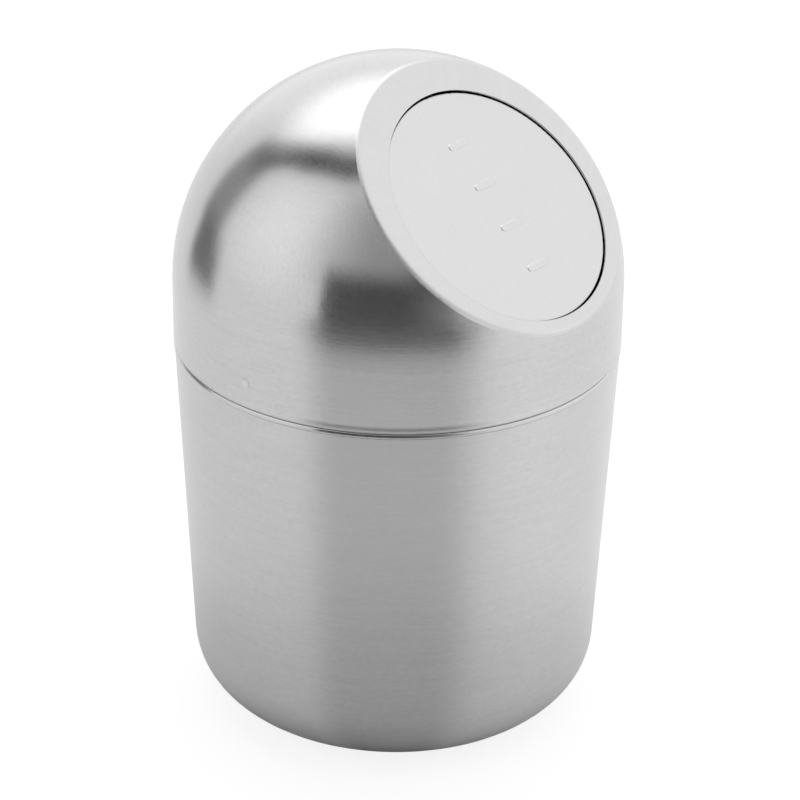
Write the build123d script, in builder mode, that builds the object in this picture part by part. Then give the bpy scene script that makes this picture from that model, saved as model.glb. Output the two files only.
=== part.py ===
from build123d import *
from math import cos, radians, sin, sqrt
import os

# Swing top waste basket: a tapered steel can under a domed lid with a swinging, counterweighted flap.
# Millimetres, +Z up, the origin on the floor under the middle of the can.
# The flap's slanted facet faces -Y, and the whole basket is symmetric about the plane x = 0.

os.makedirs("parts", exist_ok=True)

# Steel sheet of the drawn shells
sheet = 0.5

# Can
foot_height = 0.8            # the soft ring lifts the steel this far off the floor
can_height = 106.4           # floor to the top of the rolled rim
mouth_inset = 0.25           # outside of the lid to the wall just under the rim
wall_taper = 5.05            # the line of the wall comes in this far on its way down to the base
base_corner_radius = 18.5
panel_rise = 2.5             # raised middle of the base
panel_slope_width = 2.5
panel_bend_radius = 2.0
rim_bead_radius = 0.8
rim_bead_stand_out = 0.15    # the rolled rim bulges this far past the wall

# Soft ring under the base
foot_ring_width = 5.5
foot_ring_edge_radius = 0.3
foot_ring_clearance = 1.2    # ring to the slope of the raised middle

# Lid
seam_gap = 0.3               # lip of the lid to rim of the can
lid_radius = 60.0
skirt_height = 16.9          # lip to the level where the half ball begins
hem_height = 1.8
hem_thickness = 1.2
hem_edge_radius = 0.5

# Flat facet of the dome and the opening in it
facet_lean = 46.0            # degrees from level to the facet's outward normal
facet_depth = 15.2           # cut off the ball
facet_blend_radius = 3.0
facet_rim_width = 6.66       # flap's edge to the circle where the facet cuts the ball
flap_drop = 3.15             # the flap's centre sits this far down the slope from the facet's middle
flap_gap = 0.4
flap_recess = 0.4            # below the outside of the facet
flap_skirt = 8.0             # depth of the turned-down edge
flap_edge_radius = 0.7

# Collar inside the lid
collar_plug_clearance = 0.3  # plug to the inside of the can's rolled rim
collar_plug_depth = 8.0
collar_band_height = 5.0
collar_band_lift = 2.9       # lip to the lower edge of the welded band
collar_joggle_height = 1.6
collar_bend_radius = 0.5

# Axle and its bearings
axle_radius = 1.25
axle_depth = 5.5             # top of the flap to the middle of the rod
axle_end_chamfer = 0.3
running_clearance = 0.08     # rod in its bushes
hole_clearance = 0.15        # rod and screws through plain holes
bush_wall = 0.9
bush_head_width = 1.0
bush_head_thickness = 0.8
bush_seat_clearance = 0.03
bush_tail = 0.5              # past the outer face of the ear
flap_side_play = 0.25        # flap to each bush head
ear_sheet = 0.8
ear_length = 8.0             # along the slope
ear_foot_width = 3.4
ear_root = 1.8               # the web keeps its full width this far below its top
ear_end_radius = 4.0
ear_bend_radius = 0.4
foot_corner_radius = 1.0
clip_play = 0.3
clip_outer_radius = 3.5
clip_rim_radius = 2.3
clip_thickness = 0.35
clip_rise = 0.55
clip_slot_count = 6
clip_slot_width = 0.5
axle_tail = 0.9              # past each clip

# Counterweight under the flap
arm_sheet = 1.0
arm_inset = 14.25            # flap's edge to the inner face of each arm
arm_foot_length = 12.0
arm_foot_width = 7.5
arm_root = 2.4
arm_boss_radius = 4.5
arm_end_radius = 4.0
arm_bend_radius = 0.6
weight_drop = 19.0           # straight down from the axle
weight_setback = 2.32        # behind the axle, so that the flap hangs closed
weight_radius = 5.0
weight_chamfer = 0.5
screw_radius = 1.5
screw_reach = 6.5            # into the bar
screw_head_radius = 2.8
screw_head_height = 1.9
screw_head_rounding = 1.2
screw_tip_gap = 0.8
screw_thread_clearance = 0.03
screw_recess_width = 0.7
screw_recess_length = 3.0
screw_recess_depth = 0.9

# Levels and places that follow from the sizes above
wall_mouth_radius = lid_radius - mouth_inset
wall_foot_radius = wall_mouth_radius - wall_taper
foot_ring_radius = wall_foot_radius - base_corner_radius
foot_ring_inner_radius = foot_ring_radius - foot_ring_width
panel_radius = foot_ring_inner_radius - foot_ring_clearance - panel_slope_width

lip_level = can_height + seam_gap
dome_level = lip_level + skirt_height
rim_bead_level = can_height - rim_bead_radius
rim_bead_middle = wall_mouth_radius + rim_bead_stand_out - rim_bead_radius
rim_clear_radius = rim_bead_middle - rim_bead_radius
collar_plug_radius = rim_clear_radius - collar_plug_clearance
collar_band_radius = lid_radius - sheet

facet_reach = lid_radius - facet_depth
facet_radius = sqrt(lid_radius**2 - facet_reach**2)
flap_radius = facet_radius - facet_rim_width
opening_radius = flap_radius + flap_gap

facet_normal = Vector(0, -cos(radians(facet_lean)), sin(radians(facet_lean)))
up_slope = Vector(0, sin(radians(facet_lean)), cos(radians(facet_lean)))
facet_middle = Vector(0, 0, dome_level) + facet_normal * facet_reach
flap_middle = facet_middle - up_slope * flap_drop
facet = Plane(origin=flap_middle, x_dir=(1, 0, 0), z_dir=facet_normal)
flap_face = facet.offset(-flap_recess)

axle = flap_middle - facet_normal * (flap_recess + axle_depth)
ear_top = axle_depth + flap_recess - sheet
bush_outer_radius = axle_radius + running_clearance + bush_wall
bush_head_start = flap_radius + flap_side_play
ear_start = bush_head_start + bush_head_thickness
bush_end = ear_start + ear_sheet + bush_tail
clip_start = bush_end + clip_play
axle_half_length = clip_start + clip_thickness + clip_rise + axle_tail
arm_spread = flap_radius - arm_inset
arm_outer_face = arm_spread + arm_sheet


def across(x, level_up=False):
    """Plane square to the axle at x: its x runs up the slope, or straight back when level_up is set."""
    return Plane(
        origin=(x, axle.Y, axle.Z),
        x_dir=(0, 1, 0) if level_up else up_slope,
        z_dir=(1, 0, 0),
    )


def save(piece, name):
    """Label a finished piece and write it out."""
    piece.part.label = name
    export_step(piece.part, f"parts/{name}.step")


# Can: one drawn shell, its base raised in the middle, its mouth rolled outwards into a bead
with BuildPart() as can_body:
    with BuildSketch(Plane.YZ):
        with BuildLine():
            FilletPolyline(
                (0, foot_height + panel_rise),
                (panel_radius, foot_height + panel_rise),
                (panel_radius + panel_slope_width, foot_height),
                (wall_foot_radius, foot_height),
                (wall_mouth_radius, rim_bead_level),
                radius=[panel_bend_radius, panel_bend_radius, base_corner_radius],
            )
            Polyline(
                (wall_mouth_radius, rim_bead_level),
                (0, rim_bead_level),
                (0, foot_height + panel_rise),
            )
        make_face()
    revolve(axis=Axis.Z)
    mouth = can_body.faces().sort_by(Axis.Z)[-1]
    offset(amount=-sheet, openings=mouth)
    with BuildSketch(Plane.YZ):
        with Locations((rim_bead_middle, rim_bead_level)):
            Circle(rim_bead_radius)
    revolve(axis=Axis.Z)
save(can_body, "can_body")

# Soft ring that the can stands on
with BuildPart() as foot_ring:
    with BuildSketch(Plane.XY):
        Circle(foot_ring_radius)
        Circle(foot_ring_inner_radius, mode=Mode.SUBTRACT)
    extrude(amount=foot_height)
    fillet(foot_ring.faces().sort_by(Axis.Z)[0].edges(), radius=foot_ring_edge_radius)
save(foot_ring, "foot_ring")


def dome_form(inset):
    """Solid half ball and skirt cut by the facet, all drawn in from the outside of the lid by inset."""
    with BuildPart() as form:
        with Locations((0, 0, dome_level)):
            # The ball's poles lie square to the facet, so that neither of them is on the finished lid
            Sphere(lid_radius - inset, rotation=(90 - facet_lean, 0, 90))
        split(bisect_by=Plane.XY.offset(dome_level), keep=Keep.TOP)
        split(bisect_by=facet.offset(-inset), keep=Keep.BOTTOM)
        # The sheet ends halfway up the hem, which is rounded off round the lip
        extrude(form.faces().filter_by(Axis.Z)[0], amount=skirt_height - hem_height / 2)
        flat = form.faces().filter_by(GeomType.PLANE).sort_by(Axis.Z)[-1]
        fillet(flat.edges(), radius=facet_blend_radius - inset)
    return form.part


# Lid: dome and skirt in one skin, a hem folded inwards round the lip, and the round opening in the facet
with BuildPart() as dome_lid:
    add(dome_form(0))
    add(dome_form(sheet), mode=Mode.SUBTRACT)
    with BuildSketch(Plane.YZ) as hem:
        with Locations((lid_radius, lip_level)):
            Rectangle(hem_thickness, hem_height, align=(Align.MAX, Align.MIN))
        fillet(hem.vertices().group_by(Axis.Z)[0], radius=hem_edge_radius)
    revolve(axis=Axis.Z)
    with BuildSketch(facet):
        Circle(opening_radius)
    extrude(amount=-2 * sheet, mode=Mode.SUBTRACT)
save(dome_lid, "dome_lid")

# Collar: its upper band is welded to the skirt, and the part below the joggle plugs into the can
collar_band_level = lip_level + collar_band_lift
collar_top_level = collar_band_level + collar_band_height
collar_foot_level = lip_level - collar_plug_depth


def collar_form(inset):
    """Solid inside the collar's outline, every radius of it smaller by inset."""
    with BuildPart() as form:
        with BuildSketch(Plane.YZ):
            with BuildLine():
                FilletPolyline(
                    (collar_plug_radius - inset, collar_foot_level),
                    (collar_plug_radius - inset, collar_band_level - collar_joggle_height),
                    (collar_band_radius - inset, collar_band_level),
                    (collar_band_radius - inset, collar_top_level),
                    radius=collar_bend_radius,
                )
                Polyline(
                    (collar_band_radius - inset, collar_top_level),
                    (0, collar_top_level),
                    (0, collar_foot_level),
                    (collar_plug_radius - inset, collar_foot_level),
                )
            make_face()
        revolve(axis=Axis.Z)
    return form.part


with BuildPart() as lid_collar:
    add(collar_form(0))
    add(collar_form(sheet), mode=Mode.SUBTRACT)
save(lid_collar, "lid_collar")

# Flap: a shallow pressed disc with a turned-down edge, holed on both sides for the rod
with BuildPart() as swing_flap:
    with BuildSketch(flap_face):
        Circle(flap_radius)
    extrude(amount=-flap_skirt)
    flap_axis = Axis(flap_middle, facet_normal)
    fillet(swing_flap.faces().sort_by(flap_axis)[-1].edges(), radius=flap_edge_radius)
    offset(amount=-sheet, openings=swing_flap.faces().sort_by(flap_axis)[0])
    with BuildSketch(across(0)):
        Circle(axle_radius + hole_clearance)
    extrude(amount=flap_radius + sheet, both=True, mode=Mode.SUBTRACT)
save(swing_flap, "swing_flap")

# Rod that runs right across the flap
with BuildPart() as axle_rod:
    with BuildSketch(across(0)):
        Circle(axle_radius)
    extrude(amount=axle_half_length, both=True)
    chamfer(axle_rod.edges().filter_by(GeomType.CIRCLE), length=axle_end_chamfer)
save(axle_rod, "axle_rod")


def top_hull(start, boss_radius, foot_top, width, depth):
    """Upper part of a bracket's web: full width at the foot, drawn in round the boss on the rod."""
    with BuildSketch(across(start)) as outline:
        Circle(boss_radius)
        with Locations((0, foot_top)):
            Rectangle(width, depth, align=(Align.CENTER, Align.MAX))
        make_hull()
    return outline.sketch


def angle_bracket(outlines, start, thickness, foot_top, foot_length, foot_width, bend_radius):
    """Pressed angle: a web of the given outlines from start along the rod, its top turned outwards as a foot.

    foot_top is the upper face of the foot, measured from the middle of the rod square to the slope.
    """
    with BuildPart() as bracket:
        for outline in outlines:
            extrude(outline, amount=thickness, dir=(1, 0, 0))
        with BuildSketch(facet.offset(foot_top - flap_recess - axle_depth)):
            with Locations((start, 0)):
                Rectangle(foot_width, foot_length, align=(Align.MIN, Align.CENTER))
        extrude(amount=-thickness)
        along_slope = Axis(axle, up_slope)
        inner_bend = bracket.edges().filter_by(along_slope).sort_by(Axis.X)[1]
        fillet(inner_bend, radius=bend_radius)
        outer_bend = bracket.edges().filter_by(along_slope).sort_by(Axis.X)[0]
        fillet(outer_bend, radius=bend_radius + thickness)
        toe = bracket.edges().filter_by(Axis(axle, facet_normal)).group_by(Axis.X)[-1]
        fillet(toe, radius=foot_corner_radius)
    return bracket.part


def hinge_ear(side):
    """Bent ear: its foot is welded under the facet beside the opening, and its web holds the bush."""
    web = top_hull(ear_start, ear_end_radius, ear_top, ear_length, ear_root)
    with BuildPart() as ear:
        add(angle_bracket([web], ear_start, ear_sheet, ear_top, ear_length, ear_foot_width, ear_bend_radius))
        with BuildSketch(across(ear_start)):
            Circle(bush_outer_radius + bush_seat_clearance)
        extrude(amount=ear_sheet, mode=Mode.SUBTRACT)
        if side < 0:
            mirror(about=Plane.YZ, mode=Mode.REPLACE)
    return ear


def ear_bush(side):
    """Flanged bush: its head faces the flap and its barrel goes through the web of the ear."""
    with BuildPart() as bush:
        with BuildSketch(across(bush_head_start)):
            Circle(bush_outer_radius + bush_head_width)
        extrude(amount=bush_head_thickness)
        with BuildSketch(across(ear_start)):
            Circle(bush_outer_radius)
        extrude(amount=bush_end - ear_start)
        with BuildSketch(across(bush_head_start)):
            Circle(axle_radius + running_clearance)
        extrude(amount=bush_end - bush_head_start, mode=Mode.SUBTRACT)
        if side < 0:
            mirror(about=Plane.YZ, mode=Mode.REPLACE)
    return bush


def axle_clip(side):
    """Push-on clip: a flat rim round a slotted cone whose tongues grip the rod."""
    with BuildPart() as clip:
        # Half section with its local x along the radius and y along the rod
        section = Plane(origin=axle, x_dir=up_slope, z_dir=-facet_normal)
        with BuildSketch(section):
            with BuildLine():
                Polyline(
                    (clip_outer_radius, clip_start),
                    (clip_outer_radius, clip_start + clip_thickness),
                    (clip_rim_radius, clip_start + clip_thickness),
                    (axle_radius, clip_start + clip_thickness + clip_rise),
                    (axle_radius, clip_start + clip_rise),
                    (clip_rim_radius, clip_start),
                    close=True,
                )
            make_face()
        revolve(axis=Axis(axle, (1, 0, 0)))
        with BuildSketch(across(clip_start)):
            with PolarLocations(clip_rim_radius / 2, clip_slot_count):
                Rectangle(clip_rim_radius, clip_slot_width)
        extrude(amount=clip_thickness + clip_rise, mode=Mode.SUBTRACT)
        if side < 0:
            mirror(about=Plane.YZ, mode=Mode.REPLACE)
    return clip


def weight_arm(side):
    """Bent arm: its foot is welded to the back of the flap, its web takes the rod and reaches down to the weight."""
    flap_back = axle_depth - sheet
    web = top_hull(arm_spread, arm_boss_radius, flap_back, arm_foot_length, arm_root)
    with BuildSketch(across(arm_spread, level_up=True)) as finger:
        Circle(arm_boss_radius)
        with Locations((weight_setback, -weight_drop)):
            Circle(arm_end_radius)
        make_hull()
    bracket = angle_bracket(
        [web, finger.sketch],
        arm_spread,
        arm_sheet,
        flap_back,
        arm_foot_length,
        arm_foot_width,
        arm_bend_radius,
    )
    with BuildPart() as arm:
        add(bracket)
        with BuildSketch(across(arm_spread, level_up=True)):
            Circle(axle_radius + hole_clearance)
            with Locations((weight_setback, -weight_drop)):
                Circle(screw_radius + hole_clearance)
        extrude(amount=arm_sheet, mode=Mode.SUBTRACT)
        if side < 0:
            mirror(about=Plane.YZ, mode=Mode.REPLACE)
    return arm


def weight_screw(side):
    """Pan head screw with a cross recess, through the end of an arm into the weight."""
    with BuildPart() as screw:
        with BuildSketch(across(arm_outer_face, level_up=True)):
            with Locations((weight_setback, -weight_drop)):
                Circle(screw_head_radius)
        extrude(amount=screw_head_height)
        fillet(screw.faces().sort_by(Axis.X)[-1].edges(), radius=screw_head_rounding)
        with BuildSketch(across(arm_outer_face + screw_head_height, level_up=True)):
            with Locations((weight_setback, -weight_drop)):
                Rectangle(screw_recess_length, screw_recess_width)
                Rectangle(screw_recess_width, screw_recess_length)
        extrude(amount=-screw_recess_depth, mode=Mode.SUBTRACT)
        with BuildSketch(across(arm_outer_face, level_up=True)):
            with Locations((weight_setback, -weight_drop)):
                Circle(screw_radius)
        extrude(amount=-(arm_sheet + screw_reach))
        if side < 0:
            mirror(about=Plane.YZ, mode=Mode.REPLACE)
    return screw


# Round bar between the arms, drilled at both ends for the screws
with BuildPart() as counterweight_bar:
    with BuildSketch(across(0, level_up=True)):
        with Locations((weight_setback, -weight_drop)):
            Circle(weight_radius)
    extrude(amount=arm_spread, both=True)
    chamfer(counterweight_bar.edges().filter_by(GeomType.CIRCLE), length=weight_chamfer)
    for end in (-1, 1):
        with BuildSketch(across(end * arm_spread, level_up=True)):
            with Locations((weight_setback, -weight_drop)):
                Circle(screw_radius + screw_thread_clearance)
        extrude(amount=-end * (screw_reach + screw_tip_gap), mode=Mode.SUBTRACT)
save(counterweight_bar, "counterweight_bar")

for side, word in ((-1, "left"), (1, "right")):
    save(hinge_ear(side), f"hinge_ear_{word}")
    save(ear_bush(side), f"ear_bush_{word}")
    save(axle_clip(side), f"axle_clip_{word}")
    save(weight_arm(side), f"weight_arm_{word}")
    save(weight_screw(side), f"weight_screw_{word}")
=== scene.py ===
# %% [markdown]
# A small swing top waste basket in brushed steel.
# The construction was modelled in CAD and arrives here as a fixed frame, in metres, +Z up.
# Blender's job is the finish: the grain of each steel piece, the small pressed details,
# the studio round the basket and the camera. No CAD piece is moved or reshaped.

# %% Load the frame
import bpy
import bmesh
from math import cos, pi, radians, sin
from mathutils import Matrix, Quaternion, Vector


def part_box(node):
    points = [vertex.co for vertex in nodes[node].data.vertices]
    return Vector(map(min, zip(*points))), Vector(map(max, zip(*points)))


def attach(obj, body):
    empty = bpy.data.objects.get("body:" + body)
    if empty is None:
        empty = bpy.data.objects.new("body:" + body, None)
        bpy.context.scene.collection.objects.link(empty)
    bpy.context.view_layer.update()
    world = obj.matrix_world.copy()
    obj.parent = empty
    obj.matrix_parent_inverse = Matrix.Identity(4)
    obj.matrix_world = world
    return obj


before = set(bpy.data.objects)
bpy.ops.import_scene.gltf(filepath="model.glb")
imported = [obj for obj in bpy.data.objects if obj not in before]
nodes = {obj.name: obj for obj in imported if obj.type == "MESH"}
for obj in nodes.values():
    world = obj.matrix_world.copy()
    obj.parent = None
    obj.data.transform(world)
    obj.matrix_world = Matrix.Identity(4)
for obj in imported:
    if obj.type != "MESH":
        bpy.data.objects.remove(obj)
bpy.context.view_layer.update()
MM = 0.001
print("pieces:", len(nodes))

# %% [markdown]
# Everything that follows is placed from a few measures of the frame. The lid's node gives the
# radius and the foot, and the flap's node gives the middle of its face, so the looks stay tied
# to the CAD. The facet's lean, its reach and the level of the dome's centre repeat the CAD's
# own values.

# %% Measure the frame
lid_low, lid_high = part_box("dome_lid")
LID_RADIUS = (lid_high.x - lid_low.x) / 2
LID_FOOT = lid_low.z
FACET_LEAN = radians(46)
DOME_LEVEL = 123.6 * MM
FACET_REACH = 44.8 * MM
FLATNESS = 0.01 * MM
dome_centre = Vector((0, 0, DOME_LEVEL))
facet_out = Vector((0, -cos(FACET_LEAN), sin(FACET_LEAN)))
up_slope = Vector((0, sin(FACET_LEAN), cos(FACET_LEAN)))
across_slope = Vector((1, 0, 0))
flap_points = [vertex.co - dome_centre for vertex in nodes["swing_flap"].data.vertices]
flap_top = max(point.dot(facet_out) for point in flap_points)
face_points = [point for point in flap_points if point.dot(facet_out) > flap_top - FLATNESS]
slope_reaches = [point.dot(up_slope) for point in face_points]
face_middle = up_slope * (max(slope_reaches) + min(slope_reaches)) / 2
flap_middle = dome_centre + facet_out * flap_top + face_middle
print("lid radius, mm:", round(LID_RADIUS / MM, 2))
print("middle of the flap's face, mm:", [round(c / MM, 2) for c in flap_middle])

# %% [markdown]
# The camera stands to the left of the flap's side of the basket and looks down on it.
# A long lens keeps the sides nearly parallel. The small shift and the slight roll follow
# the photograph.

# %% Camera
VIEW_AZIMUTH = radians(-50)
VIEW_ELEVATION = radians(26.69)
VIEW_DISTANCE = 0.8689
VIEW_ROLL = 0.0127
TARGET_LEVEL = 84.8 * MM
LENS_LENGTH = 144
SENSOR_WIDTH = 36
SHIFT_RIGHT = 0.0042
SHIFT_UP = 0.0067
NEAREST = 0.05
FARTHEST = 20
view_target = Vector((0, 0, TARGET_LEVEL))
back = Vector((
    sin(VIEW_AZIMUTH) * cos(VIEW_ELEVATION),
    -cos(VIEW_AZIMUTH) * cos(VIEW_ELEVATION),
    sin(VIEW_ELEVATION),
))
camera_data = bpy.data.cameras.new("studio_camera")
camera_data.lens = LENS_LENGTH
camera_data.sensor_width = SENSOR_WIDTH
camera_data.shift_x = SHIFT_RIGHT
camera_data.shift_y = SHIFT_UP
camera_data.clip_start = NEAREST
camera_data.clip_end = FARTHEST
camera = bpy.data.objects.new("studio_camera", camera_data)
bpy.context.scene.collection.objects.link(camera)
camera.rotation_mode = "QUATERNION"
camera.location = view_target + back * VIEW_DISTANCE
camera.rotation_quaternion = (-back).to_track_quat("-Z", "Y") @ Quaternion((0, 0, 1), VIEW_ROLL)
bpy.context.scene.camera = camera
bpy.context.scene.view_settings.view_transform = "Standard"
print("camera at, mm:", [round(c / MM) for c in camera.location])

# %% [markdown]
# Shader maths reads best as plain sums. This small class wraps the output of one shader node.
# Adding, subtracting, multiplying or dividing adds the Math node that does it, and `node` makes
# any other node from its type, its settings and the values or links of its sockets.

# %% Shader helper
class Signal:
    def __init__(self, tree, socket=None):
        self.tree = tree
        self.socket = socket

    def node(self, kind, settings=None, inputs=None, output=0):
        made = self.tree.nodes.new(kind)
        for name, value in (settings or {}).items():
            setattr(made, name, value)
        for key, value in (inputs or {}).items():
            if isinstance(value, Signal):
                self.tree.links.new(value.socket, made.inputs[key])
            else:
                made.inputs[key].default_value = value
        return Signal(self.tree, made.outputs[output] if made.outputs else None)

    def math(self, operation, *others):
        plugs = dict(enumerate((self,) + others))
        return self.node("ShaderNodeMath", {"operation": operation}, plugs)

    def __add__(self, other):
        return self.math("ADD", other)

    def __sub__(self, other):
        return self.math("SUBTRACT", other)

    def __rsub__(self, other):
        return self.node("ShaderNodeMath", {"operation": "SUBTRACT"}, {0: other, 1: self})

    def __mul__(self, other):
        return self.math("MULTIPLY", other)

    def __truediv__(self, other):
        return self.math("DIVIDE", other)

    __radd__ = __add__
    __rmul__ = __mul__

    def rise(self, low, high):
        """0 below low, 1 above high, and a soft step between."""
        settings = {"interpolation_type": "SMOOTHSTEP"}
        limits = {0: self, 1: low, 2: high, 3: 0.0, 4: 1.0}
        return self.node("ShaderNodeMapRange", settings, limits)

    def between(self, low, high, soft_low, soft_high):
        """1 from low to high, fading to 0 over the soft widths centred on those ends."""
        start = self.rise(low - soft_low / 2, low + soft_low / 2)
        return start * (1 - self.rise(high - soft_high / 2, high + soft_high / 2))

    def along(self, direction):
        """The length of a vector signal measured along a fixed direction."""
        settings = {"operation": "DOT_PRODUCT"}
        plugs = {0: self, 1: tuple(direction)}
        return self.node("ShaderNodeVectorMath", settings, plugs, "Value")

    def parts(self):
        """The x, y and z of a vector signal."""
        x = self.node("ShaderNodeSeparateXYZ", inputs={0: self})
        return [Signal(self.tree, socket) for socket in x.socket.node.outputs]


def grey(value):
    return value.node("ShaderNodeCombineColor", inputs={0: value, 1: value, 2: value})


def degrees_of(signal):
    return signal * (180 / pi)


print("helper ready:", Signal.__name__)

# %% [markdown]
# Bare metal shows little of its own colour: what we read as shape is the studio, mirrored and
# smeared by the grain. So the studio matters as much as the steel. It is a white tent with a
# bright window on the left, a weak one on the right, a dimmer front cloth with a dark gap where
# the camera stands, a glow high up behind, and a dark seam along the cap of cloth that closes
# the tent behind the basket. The world holds it as patches with soft edges in two angles: the
# turn round the basket, from the camera's side of the tent, and the lift above the horizon.

# %% Studio tent
FRONT_WAY = (sin(VIEW_AZIMUTH), -cos(VIEW_AZIMUTH), 0)
RIGHT_WAY = (cos(VIEW_AZIMUTH), sin(VIEW_AZIMUTH), 0)
UP_WAY = (0, 0, 1)
TENT_WHITE = 0.86
# Each patch has its turn and its lift in degrees, as two ends and the softness of each end.
# The last number is the light that a bright patch adds, or the share that a dark one takes.
BRIGHT_PATCHES = {
    "left window": ((-98, -54, 34, 36), (6, 50, 40, 30), 0.22),
    "right window": ((62, 150, 40, 40), (8, 62, 40, 30), 0.02),
    "low on the right": ((34, 100, 20, 40), (-8, 18, 4, 16), 0.1),
}
DARK_PATCHES = {
    "gap on the left": ((-131, -109, 8, 10), (-13, 32, 8, 12), 0.62),
    "corner at the floor": ((-126, -103, 8, 8), (-12, 4, 6, 6), 0.45),
}
CAMERA_GAP = ((-39, 31, 3, 18), (-30, 22, 60, 10))
FRONT_DIMMING = 0.55
CAP_AXIS = (-0.73, 0.507, 0.459)
CAP_LIGHT = 0.24
GLOW_LIGHT = 0.7


def patch(turn, lift, across, upward):
    return turn.between(*across) * lift.between(*upward)


def cap_seam(behind, turn, lift):
    """The dark band along the cap, bent a little where it meets the left side of the tent."""
    outer_edge = (behind - 0.035 * turn.between(-124, -98, 10, 10)).rise(0.015, 0.055)
    inner_edge = (behind - 0.03 * turn.between(-127, -116, 10, 6)).rise(0.207, 0.297)
    return outer_edge * (1 - inner_edge) * lift.rise(20, 34) * (1 - turn.rise(-66, -30))


def tent_level(direction):
    facing, aside, height = [direction.along(way) for way in (FRONT_WAY, RIGHT_WAY, UP_WAY)]
    turn = degrees_of(aside.math("ARCTAN2", facing))
    lift = degrees_of(height.math("ARCSINE"))
    behind = facing * CAP_AXIS[0] + aside * CAP_AXIS[1] + height * CAP_AXIS[2]
    level = TENT_WHITE
    for across, upward, light in BRIGHT_PATCHES.values():
        level = level + light * patch(turn, lift, across, upward)
    dim_front = (1 - turn.math("ABSOLUTE").rise(10, 62)) * lift.between(14, 74, 10, 24)
    level = level * (1 - FRONT_DIMMING * dim_front) + CAP_LIGHT * behind.rise(0.25, 0.6)
    gap_depth = 0.9 - 0.17 * turn.rise(2, 27)
    level = level * (1 - gap_depth * patch(turn, lift, *CAMERA_GAP))
    level = level * (1 - cap_seam(behind, turn, lift))
    for across, upward, share in DARK_PATCHES.values():
        level = level * (1 - share * patch(turn, lift, across, upward))
    glow_turn = turn.between(-190, -116, 1, 18) + turn.rise(140, 170)
    return level + GLOW_LIGHT * (glow_turn * lift.between(38, 80, 28, 10))


def studio_world():
    world = bpy.data.worlds.new("white_tent")
    world.use_nodes = True
    world.node_tree.nodes.clear()
    start = Signal(world.node_tree)
    level = tent_level(start.node("ShaderNodeTexCoord", output="Generated"))
    seen = start.node("ShaderNodeLightPath", output="Is Camera Ray")
    background = start.node("ShaderNodeBackground", inputs={
        "Color": (1, 1, 1, 1),
        "Strength": seen + (1 - seen) * level,
    })
    start.node("ShaderNodeOutputWorld", inputs={"Surface": background})
    bpy.context.scene.world = world
    return world


print("nodes in the tent's world:", len(studio_world().node_tree.nodes))

# %% [markdown]
# The basket stands on a plain white floor. The camera sees it as white, yet it still takes the
# basket's soft shadow, because a part of its white is lit by the tent. The steel mirrors the same
# floor as matt white cloth, with shade and light painted into its colour: painted shade that runs
# off into the dark towards the camera's side and in one corner on the left, painted light that
# makes it brighter on the right, and painted shade that makes it a little dimmer close to the
# basket.

# %% Floor
FLOOR_RADIUS = 4.0
FLOOR_SIDES = 96
FLOOR_GLOW = 0.85
FLOOR_PAINT = 0.22
CLOTH_WHITE = 0.92
CLOTH_OFFSET = 33 * MM


def cloth_shade(place):
    """How bright the steel sees the floor, by the turn and the distance of each place. This
    painted shade and light goes into the floor's colour.
    """
    forward = place.along(FRONT_WAY) - CLOTH_OFFSET
    aside = place.along(RIGHT_WAY)
    distance = (forward * forward + aside * aside).math("SQRT")
    turn = degrees_of(aside.math("ARCTAN2", forward))
    # Painted shade towards the camera's side, painted light on the right, and painted shade in a
    # corner on the left and close to the basket
    painted_front_shade = turn.between(-42.5, 38, 22, 30) * (0.22 + 0.62 * distance.rise(0.08, 0.85))
    painted_right_light = turn.between(55, 155, 50, 50) * (0.1 + 0.1 * distance.rise(0.25, 0.6))
    corner = turn.between(-128, -103, 8, 10) * distance.rise(0.35, 0.8)
    painted_near_shade = 0.83 + 0.17 * distance.rise(0.085, 0.14)
    return (1 - painted_front_shade + painted_right_light) * painted_near_shade * (1 - 0.78 * corner)


def floor_finish():
    material = bpy.data.materials.new("white_floor")
    material.use_nodes = True
    material.node_tree.nodes.clear()
    start = Signal(material.node_tree)
    seen = start.node("ShaderNodeLightPath", output="Is Camera Ray")
    mirrored = start.node("ShaderNodeLightPath", output="Is Glossy Ray")
    through = start.node("ShaderNodeLightPath", output="Is Transmission Ray")
    shade = cloth_shade(start.node("ShaderNodeTexCoord", output="Object"))
    # Only the rays that the steel mirrors see the floor's painted shade and light
    cloth = CLOTH_WHITE * (mirrored * shade + (1 - mirrored))
    matt = seen * FLOOR_PAINT + (1 - seen) * cloth
    glow = start.node("ShaderNodeEmission", inputs={"Strength": (seen + through) * FLOOR_GLOW})
    paint = start.node("ShaderNodeBsdfDiffuse", inputs={"Color": grey(matt)})
    both = start.node("ShaderNodeAddShader", inputs={0: glow, 1: paint})
    start.node("ShaderNodeOutputMaterial", inputs={"Surface": both})
    return material


def floor():
    mesh = bpy.data.meshes.new("studio_floor")
    disc = bmesh.new()
    bmesh.ops.create_circle(disc, cap_ends=True, segments=FLOOR_SIDES, radius=FLOOR_RADIUS)
    disc.to_mesh(mesh)
    disc.free()
    mesh.materials.append(floor_finish())
    made = bpy.data.objects.new("studio_floor", mesh)
    bpy.context.scene.collection.objects.link(made)
    return made


print("floor across, m:", floor().dimensions.x)

# %% [markdown]
# Brushed steel is a metal whose tiny grooves all run one way. Grooves that run round the basket
# smear every reflection up and down, and hardly sideways. Principled does this with its
# anisotropy, and a quarter turn sets the smear across the grooves. A satin steel, with no such
# grooves, uses the same shader with no anisotropy. The tone is grey, and the relief is in metres.

# %% Metal shader
ACROSS_GROOVES = 0.25


def new_finish(name):
    """An empty material, and the Object coordinates that its patterns read."""
    material = bpy.data.materials.new(name)
    material.use_nodes = True
    material.node_tree.nodes.clear()
    return material, Signal(material.node_tree).node("ShaderNodeTexCoord", output="Object")


def noise(vector, scale, detail=2.0):
    inputs = {"Vector": vector, "Scale": scale, "Detail": detail}
    return vector.node("ShaderNodeTexNoise", inputs=inputs)


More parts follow.
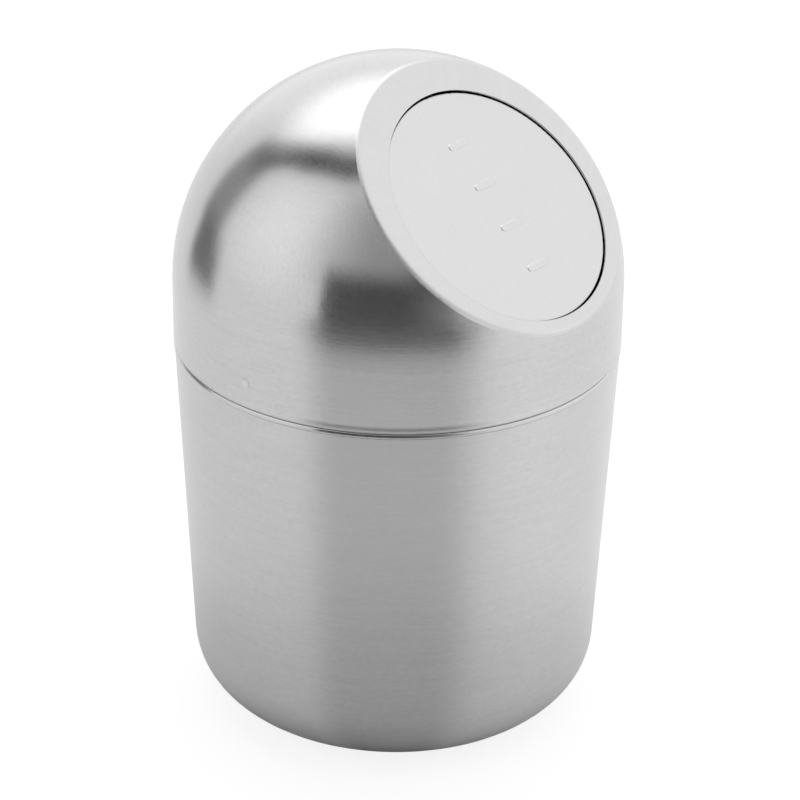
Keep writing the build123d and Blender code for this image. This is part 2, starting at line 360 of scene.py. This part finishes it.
def steel_shader(tone, roughness, anisotropy, relief):
    bump = {"Strength": 1.0, "Distance": 1.0, "Height": relief}
    shader = tone.node("ShaderNodeBsdfPrincipled", inputs={
        "Base Color": grey(tone),
        "Metallic": 1.0,
        "Roughness": roughness,
        "Anisotropic": anisotropy,
        "Anisotropic Rotation": ACROSS_GROOVES,
        "Normal": relief.node("ShaderNodeBump", inputs=bump),
    })
    shader.node("ShaderNodeOutputMaterial", inputs={"Surface": shader})


print("metal shader turned by:", ACROSS_GROOVES)

# %% [markdown]
# The can and the dome are spun and brushed on a lathe, so their grain runs in level circles.
# The streaks are noise, stretched round the basket and squeezed along its profile. That profile
# is the height up to the dome's centre, and the arc of the dome from there on, so that the
# streaks stay equally fine all the way up.

# %% Streaks of the lathe
# The size of each kind of streak, first round the basket and then along the profile
STREAKS = {
    "short": (1.7 * MM, 0.55 * MM),
    "long": (16 * MM, 0.6 * MM),
    "crossing": (0.55 * MM, 3 * MM),
    "broad": (30 * MM, 2.5 * MM),
}


def lathe_streaks(place):
    x, y, z = place.parts()
    radius = (x * x + y * y).math("SQRT")
    above = (z - DOME_LEVEL).math("MAXIMUM", 0.0)
    profile = z.math("MINIMUM", DOME_LEVEL) + LID_RADIUS * above.math("ARCTAN2", radius)
    streaks = {}
    for kind, (around, along) in STREAKS.items():
        squeezed = {0: x / around, 1: y / around, 2: profile / along}
        streaks[kind] = noise(place.node("ShaderNodeCombineXYZ", inputs=squeezed), 1.0) - 0.5
    return streaks


print("kinds of streak:", len(STREAKS))

# %% [markdown]
# The collar inside the skirt is spot welded. Each weld leaves a shallow round dent outside. Its
# shading is painted into the tone: painted shade round the dent's rim, darkest at the top, and a
# painted highlight in its middle. There are two on each side of the lid, one of them faint, so
# the mark measures from x without its sign.

# %% Spot welds
WELD_CENTRE = Vector((60.0, 0.2, 113.6)) * MM
FAINT_WELD_CENTRE = Vector((59.0, -10.9, 109.6)) * MM
WELD_SLANT = Vector((0, -0.7, 0.7))
WELD_SIZE = 2.7 * MM


def weld_mark(place, centre):
    """1 in the middle of a weld's dent, 0 outside it."""
    x, y, z = place.parts()
    mirrored = place.node("ShaderNodeCombineXYZ", inputs={0: x.math("ABSOLUTE"), 1: y, 2: z})
    ends = {0: mirrored, 1: tuple(centre)}
    offset = place.node("ShaderNodeVectorMath", {"operation": "DISTANCE"}, ends, "Value")
    return 1 - offset.rise(WELD_SIZE * 0.35, WELD_SIZE * 0.6)


def weld_top(place):
    """0 over the lower part of the main weld, 1 at its upper edge on the facet's side, where its
    painted shade is darkest.
    """
    above = place.along(WELD_SLANT) - WELD_CENTRE.dot(WELD_SLANT)
    return above.rise(-0.7 * MM, 1.0 * MM)


print("main weld at, mm:", [round(c / MM, 1) for c in WELD_CENTRE])

# %% [markdown]
# The turned finish joins the streaks and a soft mottle in tone, gloss and relief. On the lid it
# changes on the way up: over the dome the polisher's strokes run up and down, the facet has an
# even satin, and the skirt flares by a hair over its hem.

# %% Turned steel
STEEL_TONE = 0.64
GROOVE_DEPTH = 0.018 * MM
HEM_FLARE = 0.16 * MM
WELD_DEPTH = 0.12 * MM
FAINT_WELD_DEPTH = 0.05 * MM
GRIT_SCALE = 2200
TURNED_MOTTLE_SCALE = 55
STROKES_FROM = DOME_LEVEL + 8 * MM
STROKES_FULL = DOME_LEVEL + 22 * MM
SATIN_FROM = FACET_REACH - 0.9 * MM
SATIN_FULL = FACET_REACH - 0.2 * MM
FLARE_FULL = LID_FOOT + 0.3 * MM
FLARE_END = LID_FOOT + 2.1 * MM
# How much of each kind of streak shows on the upright walls, and how much over the dome
WALL_MIX = {"short": 0.5, "long": 0.3, "crossing": 0.2}
DOME_MIX = {"short": 0.1, "long": 0.05, "crossing": 0.35}


def mixed(streaks, mix):
    return sum(weight * streaks[kind] for kind, weight in mix.items())


def from_facet(place):
    """How far out a place lies from the dome's centre, square to the facet."""
    ends = {0: place, 1: tuple(dome_centre)}
    return place.node("ShaderNodeVectorMath", {"operation": "SUBTRACT"}, ends).along(facet_out)


def lid_surface(place, streaks, lines):
    """The lid's own lines, its relief, and the shade and highlight painted round its welds."""
    height = place.parts()[2]
    dome = height.rise(STROKES_FROM, STROKES_FULL)
    lines = lines * (1 - dome) + mixed(streaks, DOME_MIX) * dome
    flat = from_facet(place).rise(SATIN_FROM, SATIN_FULL)
    satin = noise(place, GRIT_SCALE) - 0.5
    lines = lines * (1 - flat) + 0.25 * satin * flat
    flare = 1 - height.rise(FLARE_FULL, FLARE_END)
    weld = weld_mark(place, WELD_CENTRE)
    faint = weld_mark(place, FAINT_WELD_CENTRE)
    dents = WELD_DEPTH * weld + FAINT_WELD_DEPTH * faint
    relief = GROOVE_DEPTH * lines + HEM_FLARE * flare - dents
    # Painted shade round the rim of each dent, darkest at the main weld's upper edge, and a
    # painted highlight in the main dent's middle
    painted_weld_shading = weld * (1 - weld) * 6 * weld_top(place) - 0.25 * weld + faint * (1 - faint) * 1.6
    return lines, relief, painted_weld_shading


def turned_steel(name, gloss, anisotropy, lid=False):
    material, place = new_finish(name)
    streaks = lathe_streaks(place)
    mottle = noise(place, TURNED_MOTTLE_SCALE, 3) - 0.5
    lines = mixed(streaks, WALL_MIX)
    relief = GROOVE_DEPTH * lines
    painted_weld_shading = 0.0
    if lid:
        lines, relief, painted_weld_shading = lid_surface(place, streaks, lines)
    tone = STEEL_TONE + 0.27 * lines + 0.03 * streaks["broad"] + 0.02 * mottle
    roughness = gloss + 0.15 * lines + 0.04 * mottle
    # The welds' painted shade and painted highlight darken and lighten the tone
    steel_shader(tone * (1 - 0.2 * painted_weld_shading), roughness, anisotropy, relief)
    return material


can_finish = turned_steel("turned_can_steel", 0.24, 0.7)
lid_finish = turned_steel("turned_lid_steel", 0.19, 0.35, lid=True)
print("turned finishes:", can_finish.name, lid_finish.name)

# %% [markdown]
# The flap is a flat pressed disc with a fine, even satin, so it mirrors one patch of the tent
# as one pale tone. A soft mottle and a hair of noise keep it from looking like paint. The other
# steel pieces have the same finish in other tones, with more gloss where they are drawn or rolled.

# %% Satin steel
SATIN_MOTTLE_SCALE = 60
GRIT_RELIEF = 0.004 * MM
EDGE_DROP = 0.7 * MM
EDGE_SLOPE = 0.85


def satin_steel(name, tone, gloss, mottling=0.03, crisp_edge=False):
    material, place = new_finish(name)
    grit = noise(place, GRIT_SCALE) - 0.5
    mottle = noise(place, SATIN_MOTTLE_SCALE, 3) - 0.5
    relief = GRIT_RELIEF * grit
    if crisp_edge:
        # The rounding of the flap's edge reads sharper than its true radius
        drop = (flap_top - from_facet(place)).math("MAXIMUM", 0.0).math("MINIMUM", EDGE_DROP)
        relief = relief + EDGE_SLOPE * drop
    shade = tone + mottling * mottle + 0.09 * grit
    steel_shader(shade, gloss + 0.08 * grit + 0.05 * mottle, 0.0, relief)
    return material


flap_finish = satin_steel("satin_flap_steel", 0.67, 0.34, crisp_edge=True)
inner_finish = satin_steel("mill_steel", 0.55, 0.38, mottling=0.06)
rod_finish = satin_steel("drawn_rod_steel", 0.6, 0.22)
lip_finish = satin_steel("lip_steel", 0.66, 0.22)
rim_finish = satin_steel("polished_rim_steel", 0.64, 0.13)
print("satin finishes:", flap_finish.name, inner_finish.name, rod_finish.name)
print("bright finishes:", lip_finish.name, rim_finish.name)

# %% [markdown]
# Three pieces are not metal. The two bushes are natural nylon, slightly waxy, and the foot ring
# is black rubber with a dull, faintly dusty surface.

# %% Nylon and rubber
MOULDED_RELIEF = 0.05 * MM
MOULDED_STRENGTH = 0.3


def plain_finish(name, shade, roughness, grain_scale, spread):
    material, place = new_finish(name)
    grain = noise(place, grain_scale, 3)
    tone = place.node("ShaderNodeMix", {"data_type": "RGBA"}, {
        "Factor": grain,
        "A": (*[channel * (1 - spread) for channel in shade], 1),
        "B": (*[channel * (1 + spread) for channel in shade], 1),
    }, 2)
    bump = {"Strength": MOULDED_STRENGTH, "Distance": MOULDED_RELIEF, "Height": grain}
    shader = place.node("ShaderNodeBsdfPrincipled", inputs={
        "Base Color": tone,
        "Roughness": roughness + 0.1 * (grain - 0.5),
        "Normal": place.node("ShaderNodeBump", inputs=bump),
    })
    place.node("ShaderNodeOutputMaterial", inputs={"Surface": shader})
    return material


nylon_finish = plain_finish("natural_nylon", (0.78, 0.76, 0.7), 0.42, 900, 0.03)
rubber_finish = plain_finish("black_rubber", (0.028, 0.028, 0.03), 0.75, 1600, 0.25)
print("other finishes:", nylon_finish.name, rubber_finish.name)

# %% [markdown]
# Every CAD piece keeps the mesh it came with, and only the material in its slot changes.
# So the looks of all of them fit in one list, and the left and right piece of a pair share a line.

# %% Dress the CAD pieces
FINISHES = {
    "can_body": can_finish,
    "dome_lid": lid_finish,
    "swing_flap": flap_finish,
    "lid_collar": inner_finish,
    "foot_ring": rubber_finish,
    "axle_rod": rod_finish,
    "counterweight_bar": rod_finish,
}
for side in ("left", "right"):
    FINISHES[f"hinge_ear_{side}"] = inner_finish
    FINISHES[f"weight_arm_{side}"] = inner_finish
    FINISHES[f"ear_bush_{side}"] = nylon_finish
    FINISHES[f"axle_clip_{side}"] = rod_finish
    FINISHES[f"weight_screw_{side}"] = rod_finish
for name, node in nodes.items():
    node.material_slots[0].material = FINISHES[name]
print("dressed:", len(FINISHES))

# %% [markdown]
# Two of the pressed details repeat a shape or follow a circle, which is work for Geometry Nodes.
# A recipe grows a tree step by step, with named inputs for its counts and sizes. The tree is then
# run once on an empty object, and its result is kept as a plain mesh that is laid in its place.

# %% Geometry Nodes helper
class Recipe:
    def __init__(self, name, counts, sizes):
        self.tree = bpy.data.node_groups.new(name, "GeometryNodeTree")
        for label, count in counts.items():
            self.socket(label, "Int").default_value = count
        for label, size in sizes.items():
            self.socket(label, "Float").default_value = size
        self.socket("Material", "Material")
        self.socket("Geometry", "Geometry", "OUTPUT")
        self.given = self.tree.nodes.new("NodeGroupInput").outputs

    def socket(self, label, kind, way="INPUT"):
        kind = "NodeSocket" + kind
        return self.tree.interface.new_socket(label, in_out=way, socket_type=kind)

    def step(self, kind, inputs, **settings):
        made = self.tree.nodes.new(kind)
        for label, value in settings.items():
            setattr(made, label, value)
        for key, value in inputs.items():
            if isinstance(value, bpy.types.NodeSocket):
                self.tree.links.new(value, made.inputs[key])
            else:
                made.inputs[key].default_value = value
        return made.outputs[0]

    def end(self, geometry):
        joined = self.step("GeometryNodeRealizeInstances", {"Geometry": geometry})
        plugs = {"Geometry": joined, "Material": self.given["Material"]}
        dressed = self.step("GeometryNodeSetMaterial", plugs)
        output = self.tree.nodes.new("NodeGroupOutput")
        self.tree.links.new(dressed, output.inputs["Geometry"])
        return self.tree


def grown(name, tree, inputs, placed):
    seed = bpy.data.objects.new(name + "_seed", bpy.data.meshes.new(name + "_seed"))
    bpy.context.scene.collection.objects.link(seed)
    modifier = seed.modifiers.new("grow", "NODES")
    modifier.node_group = tree
    for socket in tree.interface.items_tree:
        if socket.in_out == "INPUT" and socket.name in inputs:
            modifier[socket.identifier] = inputs[socket.name]
    evaluated = seed.evaluated_get(bpy.context.evaluated_depsgraph_get())
    mesh = bpy.data.meshes.new_from_object(evaluated)
    bpy.data.objects.remove(seed)
    mesh.name = name
    mesh.transform(placed)
    mesh.update()
    made = bpy.data.objects.new(name, mesh)
    bpy.context.scene.collection.objects.link(made)
    return made


print("helper ready:", Recipe.__name__)

# %% [markdown]
# A row of four low pressed ribs runs down the middle of the flap. They repeat, so a tree makes
# them: one rounded bar is filled, raised and drawn in at the top, then set on a line of points.
# The row is built flat, with x across the flap and y up its slope, and then laid on the face.

# %% Pressed ribs
RIB_COUNT = 4
RIB_SPACING = 12.4 * MM
RIB_SINK = 0.02 * MM
RIB_SIZES = {"Spacing": RIB_SPACING, "Length": 8 * MM, "Width": 2.2 * MM, "Height": 0.18 * MM}
RIB_CORNER_SHARE = 0.49
RIB_CORNER_STEPS = 8
TOP_WIDTH_SHARE = 0.78
TOP_LENGTH_SHARE = 0.94


def rib_tree():
    recipe = Recipe("rib_row", {"Count": RIB_COUNT}, RIB_SIZES)
    given, step = recipe.given, recipe.step
    outline = step("GeometryNodeCurvePrimitiveQuadrilateral", {
        "Width": given["Length"], "Height": given["Width"]})
    corner = step("ShaderNodeMath", {0: given["Width"], 1: RIB_CORNER_SHARE}, operation="MULTIPLY")
    rounded = step("GeometryNodeFilletCurve", {
        "Curve": outline, "Radius": corner, "Count": RIB_CORNER_STEPS}, mode="POLY")
    face = step("GeometryNodeFillCurve", {"Curve": rounded}, mode="NGONS")
    bar = step("GeometryNodeExtrudeMesh", {"Mesh": face, "Offset Scale": given["Height"]})
    top = bar.node.outputs["Top"]
    for axis, share in (((0, 1, 0), TOP_WIDTH_SHARE), ((1, 0, 0), TOP_LENGTH_SHARE)):
        plugs = {"Geometry": bar, "Selection": top, "Scale": share, "Axis": axis}
        bar = step("GeometryNodeScaleElements", plugs, scale_mode="SINGLE_AXIS")
    offset = step("ShaderNodeCombineXYZ", {"Y": given["Spacing"]})
    places = step("GeometryNodeMeshLine", {
        "Count": given["Count"], "Offset": offset}, mode="OFFSET")
    return recipe.end(step("GeometryNodeInstanceOnPoints", {"Points": places, "Instance": bar}))


rib_start = flap_middle - facet_out * RIB_SINK - up_slope * RIB_SPACING * (RIB_COUNT - 1) / 2
face_turn = Matrix((across_slope, up_slope, facet_out)).transposed().to_4x4()
on_flap = Matrix.Translation(rib_start) @ face_turn
ribs = grown("flap_ribs", rib_tree(), {"Count": RIB_COUNT, "Material": flap_finish}, on_flap)
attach(ribs, "flap")
tops = [face.normal.dot(facet_out) for face in ribs.data.polygons]
print("ribs: faces", len(tops), "tops face out of the flap:", round(max(tops), 3))

# %% [markdown]
# The sheet at the lid's lip is folded, and the fold closes most of the gap to the can's rolled
# rim. It is a thin bead that follows a circle, so a second tree sweeps a small round profile
# along one.

# %% Folded lip
LIP_RADIUS = 59.42 * MM
LIP_LEVEL = LID_FOOT
LIP_BEAD = 0.27 * MM
LIP_COUNTS = {"Segments": 256, "Sides": 16}


def sweep_tree():
    recipe = Recipe("swept_ring", LIP_COUNTS, {"Radius": LIP_RADIUS, "Bead": LIP_BEAD})
    given, step = recipe.given, recipe.step
    path = step("GeometryNodeCurvePrimitiveCircle", {
        "Resolution": given["Segments"], "Radius": given["Radius"]})
    profile = step("GeometryNodeCurvePrimitiveCircle", {
        "Resolution": given["Sides"], "Radius": given["Bead"]})
    tube = step("GeometryNodeCurveToMesh", {"Curve": path, "Profile Curve": profile})
    return recipe.end(step("GeometryNodeSetShadeSmooth", {"Geometry": tube}))


def off_axis(point):
    return Vector((point.x, point.y, 0))


def out_of_bead(point):
    """The way from the middle of the bead to a point on it."""
    middle = off_axis(point).normalized() * LIP_RADIUS + lip_centre
    return (point - middle).normalized()


lip_centre = Vector((0, 0, LIP_LEVEL))
lip = grown("folded_lip", sweep_tree(), {"Material": lip_finish}, Matrix.Translation(lip_centre))
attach(lip, "lid")
looks_out = min(face.normal.dot(out_of_bead(face.center)) for face in lip.data.polygons)
print("folded lip: faces", len(lip.data.polygons), "all look out:", round(looks_out, 3))

# %% [markdown]
# The can's rim is rolled, then pressed a little flatter than a round bead, so that its face leans
# back under the lip. Its section is turned round the can's axis: a few points, each a radius and
# a drop below the top of the can in millimetres, and a ring of them at every step of the turn.

# %% Pressed rim
CAN_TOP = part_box("can_body")[1].z
RIM_STEPS = 384
RIM_OUTSIDE = 59.8 * MM
RIM_SECTION = (
    (59.30, 0.02),
    (59.62, 0.07),
    (59.72, 0.14),
    (59.77, 0.27),
    (59.90, 0.70),
    (59.93, 0.90),
    (59.89, 1.12),
    (59.69, 1.42),
    (59.30, 1.20),
)


def turned_ring(name, section, steps):
    corners = len(section)
    points = []
    for step in range(steps):
        angle = 2 * pi * step / steps
        for radius, drop in section:
            level = CAN_TOP - drop * MM
            points.append((radius * MM * cos(angle), radius * MM * sin(angle), level))
    faces = []
    for step in range(steps):
        here = step * corners
        there = (step + 1) % steps * corners
        for corner in range(corners):
            beside = (corner + 1) % corners
            faces.append((here + corner, here + beside, there + beside, there + corner))
    mesh = bpy.data.meshes.new(name)
    mesh.from_pydata(points, [], faces)
    for polygon in mesh.polygons:
        polygon.use_smooth = True
    made = bpy.data.objects.new(name, mesh)
    bpy.context.scene.collection.objects.link(made)
    return made


rim = turned_ring("pressed_rim", RIM_SECTION, RIM_STEPS)
rim.data.materials.append(rim_finish)
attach(rim, "can")
outer = [face for face in rim.data.polygons if off_axis(face.center).length > RIM_OUTSIDE]
looks_out = min(face.normal.dot(off_axis(face.center).normalized()) for face in outer)
print("pressed rim: faces", len(rim.data.polygons), "outer ones look out:", round(looks_out, 2))
